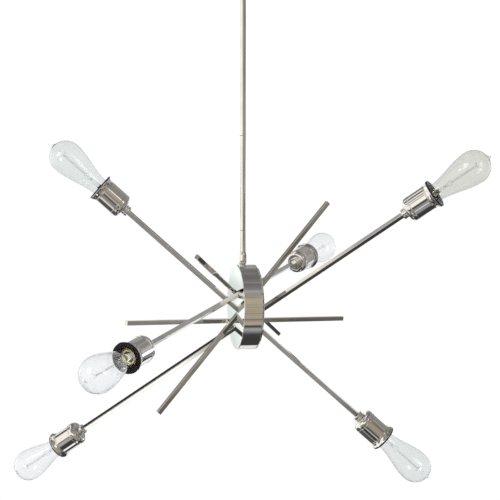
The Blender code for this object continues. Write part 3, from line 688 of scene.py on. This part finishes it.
# ---- drum and members ----------------------------------------------------------------------------
def build_drum(place):
    """The band with its flat face, and the lid with a proud edge."""
    half, edge = DRUM_HALF_WIDTH, DRUM_HALF_WIDTH - LID_EDGE
    wall = 1.5
    cup = [(0, wall - half), (DRUM_RADIUS - wall, wall - half), (DRUM_RADIUS - wall, edge - 0.3),
           (DRUM_RADIUS - 0.2, edge - 0.3), (DRUM_RADIUS, edge - 0.6), (DRUM_RADIUS, 0.8 - half),
           (DRUM_RADIUS - 0.8, -half), (0, -half)]
    body = turned("drum_cup", softened(cup, 0.5, 4), place, NICKEL, sides=192)
    # the cup's flat outer face takes the lighter nickel: painted light
    body.data.materials.append(LIT_FACE_NICKEL)
    for polygon in body.data.polygons:
        local = place.inverted() @ polygon.center
        outermost = local.z < -(half - 0.05) * MM
        if outermost and math.hypot(local.x, local.y) < DRUM_FACE_RADIUS * MM:
            polygon.material_index = 1
    belongs(body, "fixture", "drum_body")
    wide, skirt, skirt_end = DRUM_RADIUS + 0.5, 74.2, edge - 4.3
    lid = [(0, half), (wide - 1.9, half), (wide - 1.5, half - 0.3), (wide, half - 2.8),
           (wide, edge + 0.4), (wide - 0.4, edge), (skirt, edge), (skirt, skirt_end),
           (skirt - wall, skirt_end), (skirt - wall, half - wall), (0, half - wall)]
    cover = turned("drum_lid", softened(lid, 0.25, 4), place, NICKEL, sides=192)
    belongs(cover, "fixture", "drum_cover")


def build_member(node):
    """A square tube or rod with softly rolled corners and eased ends."""
    place, length = member_place(node)
    half, inner = TUBE_SIDE / 2, TUBE_SIDE / 2 - TUBE_CORNER
    outline = []
    for x, y, start in ((1, 1, 0), (-1, 1, 90), (-1, -1, 180), (1, -1, 270)):
        outline += arc((x * inner, y * inner), TUBE_CORNER, start, start + 90, 6)
    reach = length / 2 / MM
    easing = ((0, 0.35), (0.1, 0.12), (0.35, 0))        # how far in from the end, how much narrower
    steps = [(inward - reach, shrink) for inward, shrink in easing]
    steps += [(reach - inward, shrink) for inward, shrink in reversed(easing)]
    bm = bmesh.new()
    rings = []
    for height, shrink in steps:
        scale = (half - shrink) / half
        rings.append([bm.verts.new((x * scale, y * scale, height)) for x, y in outline])
    for first, second in zip(rings, rings[1:]):
        bridge_rings(bm, first, second, len(outline))
    bm.faces.new(rings[0])
    bm.faces.new(rings[-1])
    belongs(finished(f"{node}_bar", bm, place, DRAWN, sharp=50), "fixture", node)


# ---- lampholders ---------------------------------------------------------------------------------
def bead(height):
    """A rolled bead round the cup, between two fine grooves."""
    half = [(21.75, 1.3), (21.45, 1.1), (21.5, 0.9), (22.05, 0.6)]
    upper = [(radius, height + rise) for radius, rise in half]
    lower = [(radius, height - rise) for radius, rise in reversed(half)]
    return upper + [(22.25, height)] + lower


def build_lampholder(number, place):
    """The neck collar, the cup with its beads and flared rim, the insulator, the screw shell."""
    collar = [(0, -46), (4.7, -46), (4.7, -57.3), (8.9, -57.3), (9.25, -57.7), (9.25, -60.4),
              (8.8, -60.9), (8.8, -61.6), (9.2, -62.1), (9.2, -65.6), (8.4, -67), (0, -67)]
    neck = turned(f"neck_{number}", softened(collar), place, NICKEL)
    belongs(neck, "fixture", f"arm_collar_{number}")
    shoulder = (13.75, -49.0)
    cup = [(24.0, -2.4), (25.2, -2.4), (25.6, -2.8), (25.6, -3.4), (25.2, -4.1), (24.4, -5.2),
           (23.6, -6.5), (22.9, -8.0), (22.4, -9.3), (22.3, -9.8), (21.9, -10.0), (21.75, -10.3)]
    cup += bead(-12.0) + bead(-44.6)
    cup += arc(shoulder, 8.0, 0, -70, 12)
    cup += [(15.2, -57.0), (14.4, -57.0), (14.2, -56.8), (10.8, -56.8), (10.6, -57.0),
            (5.0, -57.0), (5.0, -56.2)]
    cup += arc(shoulder, 7.2, -90, 0, 6)
    cup += [(20.95, -10.4), (21.4, -9.4), (22.6, -6.6), (23.9, -4.4)]
    shell = turned(f"shell_{number}", cup, place, NICKEL, sides=96, closed=True)
    belongs(shell, "fixture", f"socket_shell_{number}")
    body = [(2.0, -38), (14.7, -38), (14.7, -4.2), (15.3, -3.2), (16.6, -1.4), (16.8, -0.6),
            (17.1, -0.1), (18.8, -0.1), (19.1, -0.5), (19.7, -0.5), (20.0, 0.0), (24.4, 0.0),
            (25.0, -0.4), (25.2, -1.0), (25.2, -1.6), (24.8, -2.1), (23.2, -2.1), (23.2, -3.6),
            (20.1, -9.8), (20.1, -47.9), (13.0, -55.9), (5.0, -55.9), (5.0, -42), (2.0, -42)]
    insulator = turned(f"insulator_{number}", softened(body), place, PHENOLIC, closed=True)
    belongs(insulator, "fixture", f"socket_insulator_{number}")
    heights = [-6.9 - 0.4 * i for i in range(74)]
    sleeve = [(14.25, -6.5)] + [(14.2, height) for height in heights]
    sleeve += [(14.2, -37.7), (8.5, -37.7), (8.5, -37.1), (13.6, -37.1)]
    sleeve += [(13.6, height) for height in heights[::-1]] + [(13.65, -6.5)]
    screw = turned(f"screw_sleeve_{number}", sleeve, place, BRASS, sides=48, closed=True,
                   ripple=thread(-35.5, -7.0, 13.9))
    belongs(screw, "fixture", f"screw_shell_{number}")


# ---- bulbs ---------------------------------------------------------------------------------------
def glass_outline(inset):
    """One side of the envelope, from its round end to its foot, in small even steps."""
    radius, end = BULB_RADIUS - inset, BULB_END - inset
    equator = BULB_WIDEST - 2.0
    dome = [(radius * math.sin(a), equator + (end - equator) * math.cos(a))
            for a in map(math.radians, range(12, 91, 6))]
    neck_end, neck_radius = -0.8, 15.7 - inset
    side = []
    for i in range(1, 29):
        t = i / 28
        swell = (0.5 + 0.5 * math.cos(math.pi * t ** 0.92)) ** 0.86
        side.append((neck_radius + (radius - neck_radius) * swell,
                     equator + (neck_end - equator) * t))
    foot = [(15.0 - inset, -2.0), (13.9 - inset, -3.5), (12.8 - inset, -4.7), (12.2 - inset, -5.6),
            (12.1 - inset, -6.7)]
    return dome + side + foot


def build_bulb(number, place):
    """The drawn envelope, the threaded cap, the glass mount and the hooked hairpin filament."""
    pip = [(0, 3.4), (0.9, 3.2), (1.7, 2.6), (2.4, 1.6), (3.1, 0.7), (4.2, 0.1)]
    hollow = [(3.4, -0.7), (2.4, -0.2), (1.6, 0.7), (0.9, 1.6), (0, 2.0)]
    profile = [(radius, BULB_END + height) for radius, height in pip] + glass_outline(0)
    profile += glass_outline(GLASS_WALL)[::-1]
    profile += [(radius, BULB_END + height) for radius, height in hollow]
    # painted shade: some bulbs get a darker copy of the glass
    envelope = turned(f"envelope_{number}", profile, place, SHADED_BULBS.get(number, GLASS),
                      sides=96, flat=False)
    belongs(envelope, f"bulb_{number}", f"bulb_glass_{number}")
    heights = [-7.6 - 0.4 * i for i in range(52)]
    cap = [(0, -7.0), (12.7, -7.0), (13.0, -7.3)] + [(12.9, height) for height in heights]
    cap += [(12.6, -28.6), (9.5, -32.3), (9.0, -32.8), (5.0, -34.2), (4.6, -34.6), (4.6, -36.1),
            (4.2, -36.4), (0, -36.4)]
    base = turned(f"cap_{number}", cap, place, CAP, sides=48, ripple=thread(-28.2, -8.0, 12.9))
    belongs(base, f"bulb_{number}", f"bulb_base_{number}")
    stem = [(0, 20.5), (1.6, 20.4), (2.6, 19.6), (2.9, 18.4), (2.9, 15.5), (2.4, 14.4), (2.7, 12.0),
            (3.4, 8.0), (4.0, 2.0), (4.8, -3.0), (6.6, -5.6), (9.0, -6.8), (0, -6.9)]
    mount = turned(f"mount_{number}", stem, place, STEM_GLASS, sides=40, flat=False)
    belongs(mount, f"bulb_{number}")
    belongs(build_filament(number, place), f"bulb_{number}")


def build_filament(number, place):
    """The lead-in wires, two long filament legs, their hooks, and the support between them."""
    low, high = FILAMENT_LOW, FILAMENT_HIGH
    legs = []
    for side in (-1, 1):
        lead = [(1.2, 18.0), (1.6, 21.0), (3.0, 25.0), (5.0, 29.5), (5.8, 31.5), (5.2, 32.6),
                (3.4, 32.8), (1.7, low + 1.0)]
        leg = [(1.7, low + 1.0 + (high - low - 2.0) * i / 8) for i in range(1, 9)]
        legs.append([(side * x, 0, z) for x, z in lead + leg])
        hook = [(side * x, 0, high + rise) for x, rise in (
            (0.2, -2.5), (0.8, -0.8), (2.2, -0.2), (4.6, 0.6), (6.0, -0.4), (6.2, -1.8))]
        legs.append(hook)
        legs.append([(0, side * x, z) for x, _, z in hook])
    support = [(0, 0, 19.0 + (high - 21.0) * i / 6) for i in range(7)]
    turn = Matrix.Rotation(FILAMENT_TURN, 4, "Z")
    return wire(f"filament_{number}", legs + [support], FILAMENT_RADIUS, place @ turn, FILAMENT)


# ---- the whole scene -----------------------------------------------------------------------------
DRUM = drum_place()
TARGET = DRUM.to_translation()
build_camera(TARGET)
build_world()
build_floor(TARGET)
area_light("soft_left", (-2.6, -2.2, 0.6), TARGET, size=(1.5, 1.5), watts=40)
area_light("soft_right", (2.4, -2.6, 0.2), TARGET, size=(1.2, 1.5), watts=25)
build_canopy()
build_stem()
build_drum(DRUM)
for kind in ("light_tube", "accent_rod"):
    for member in (1, 2, 3):
        build_member(f"{kind}_{member}")
for light in range(1, 7):
    mouth = light_place(light)
    build_lampholder(light, mouth)
    build_bulb(light, mouth)
for kept in ("mounting_strap", "swivel_pin", "stem_nipple_1", "stem_nipple_2", "stem_nipple_3",
             "drum_nut"):
    dress(kept, STEEL)
dress("swivel_yoke", NICKEL)
dress("swivel_tongue", NICKEL)
dress("supply_cable", SHEATH)

bpy.context.scene.view_settings.view_transform = "Standard"
